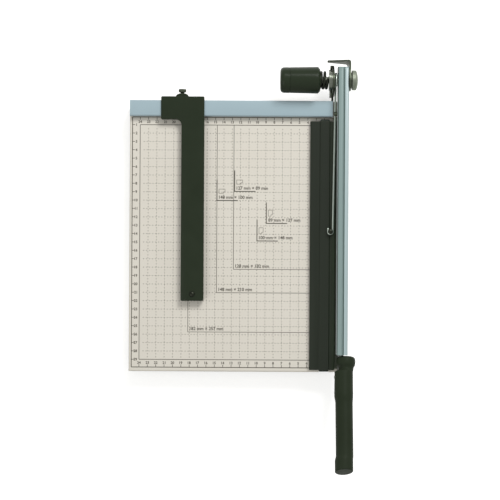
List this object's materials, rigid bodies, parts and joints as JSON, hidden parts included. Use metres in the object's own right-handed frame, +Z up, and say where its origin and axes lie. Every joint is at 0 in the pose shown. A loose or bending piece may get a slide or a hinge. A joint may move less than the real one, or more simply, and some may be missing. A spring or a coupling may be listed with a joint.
{
  "type": "paper cutter",
  "caption": "Desk guillotine: flat board with fence, hinged blade arm with tilted handle, sprung tension knob, lifting clamp bar and sliding T-shaped paper guide.",
  "frame": {"origin": "on the table below the middle of the whole cutter, arm down", "axes": "+X to the blade side, +Y to the fence and the pivot at the back, +Z up"},
  "size_m": [0.2708, 0.4866, 0.0946],
  "materials": {
    "board_enamel": "satin cream enamel with a printed grid",
    "fence_enamel": "satin blue-grey enamel",
    "arm_enamel": "semi-gloss grey enamel",
    "black_enamel": "matt black enamel",
    "black_plastic": "moulded, fine grain",
    "rubber": "matt",
    "blade_steel": "ground",
    "zinc_steel": "zinc plated",
    "spring_steel": "blackened spring wire",
    "felt": "felt"
  },
  "bodies": {
    "base": {"base_plate": "board_enamel", "foot_rail_left": "board_enamel", "foot_rail_right": "board_enamel", "fence": "fence_enamel", "foot_front_left": "rubber", "foot_front_right": "rubber", "foot_rear_left": "rubber", "foot_rear_right": "rubber", "fixed_blade": "blade_steel", "fence_screw_1": "zinc_steel", "fence_screw_2": "zinc_steel", "fence_screw_3": "zinc_steel", "fixed_blade_screw_1": "zinc_steel", "fixed_blade_screw_2": "zinc_steel", "fixed_blade_screw_3": "zinc_steel", "fixed_blade_screw_4": "zinc_steel", "blade_rail": "zinc_steel", "pivot_bracket": "zinc_steel", "bracket_bolt_1": "zinc_steel", "bracket_bolt_2": "zinc_steel", "pivot_bush": "zinc_steel", "thrust_washer": "zinc_steel", "pivot_spring": "spring_steel"},
    "arm": {"arm_bar": "arm_enamel", "moving_blade": "blade_steel", "blade_screw_1": "zinc_steel", "blade_screw_2": "zinc_steel", "blade_screw_3": "zinc_steel", "blade_screw_4": "zinc_steel", "handle_grip": "black_plastic", "handle_pin_1": "zinc_steel", "handle_pin_2": "zinc_steel", "stop_plate": "zinc_steel", "bolt_washer": "zinc_steel", "pivot_bolt": "zinc_steel", "press_pin": "zinc_steel"},
    "knob": {"tension_knob": "black_plastic", "knob_nut": "zinc_steel"},
    "clamp_bar": {"pressure_bar": "black_enamel", "bar_guide_strip": "black_enamel", "strip_rivet_front": "zinc_steel", "strip_rivet_rear": "zinc_steel", "tab_stop_front": "zinc_steel", "tab_stop_rear": "zinc_steel", "hook_stud": "zinc_steel"},
    "wire": {"clamp_wire": "zinc_steel"},
    "paper_guide": {"guide": "black_plastic", "guide_rivet": "zinc_steel", "guide_pad": "felt"},
    "guide_screw": {"thumb_screw": "zinc_steel"}
  },
  "joints": [
    {"name": "arm_lift", "type": "hinge", "parent": "base", "child": "arm", "pos_m": [0.11715, 0.21965, 0.048], "axis": [-1, 0, 0], "range_deg": [0, 70]},
    {"name": "clamp_lift", "type": "slide", "parent": "base", "child": "clamp_bar", "axis": [0, 0, 1], "range_m": [0, 0.003]},
    {"name": "clamp_wire_swing", "type": "hinge", "parent": "base", "child": "wire", "pos_m": [0.10955, 0.21965, 0.048], "axis": [-1, 0, 0], "range_deg": [0, 0.962]},
    {"name": "guide_slide", "type": "slide", "parent": "base", "child": "paper_guide", "axis": [1, 0, 0], "range_m": [-0.037, 0.11]},
    {"name": "guide_screw_turn", "type": "hinge", "parent": "paper_guide", "child": "guide_screw", "pos_m": [-0.07255, 0.20725, 0.03415], "axis": [0, 1, 0], "range_deg": [-360, 360]},
    {"name": "tension_knob_turn", "type": "hinge", "parent": "arm", "child": "knob", "pos_m": [0.06715, 0.21965, 0.048], "axis": [1, 0, 0], "range_deg": [-180, 180]}
  ],
  "couplings": [
    {"joint": "clamp_lift", "follows": "arm_lift", "m_per_rad": 0.00245},
    {"joint": "clamp_wire_swing", "follows": "arm_lift", "ratio": 0.01371}
  ]
}
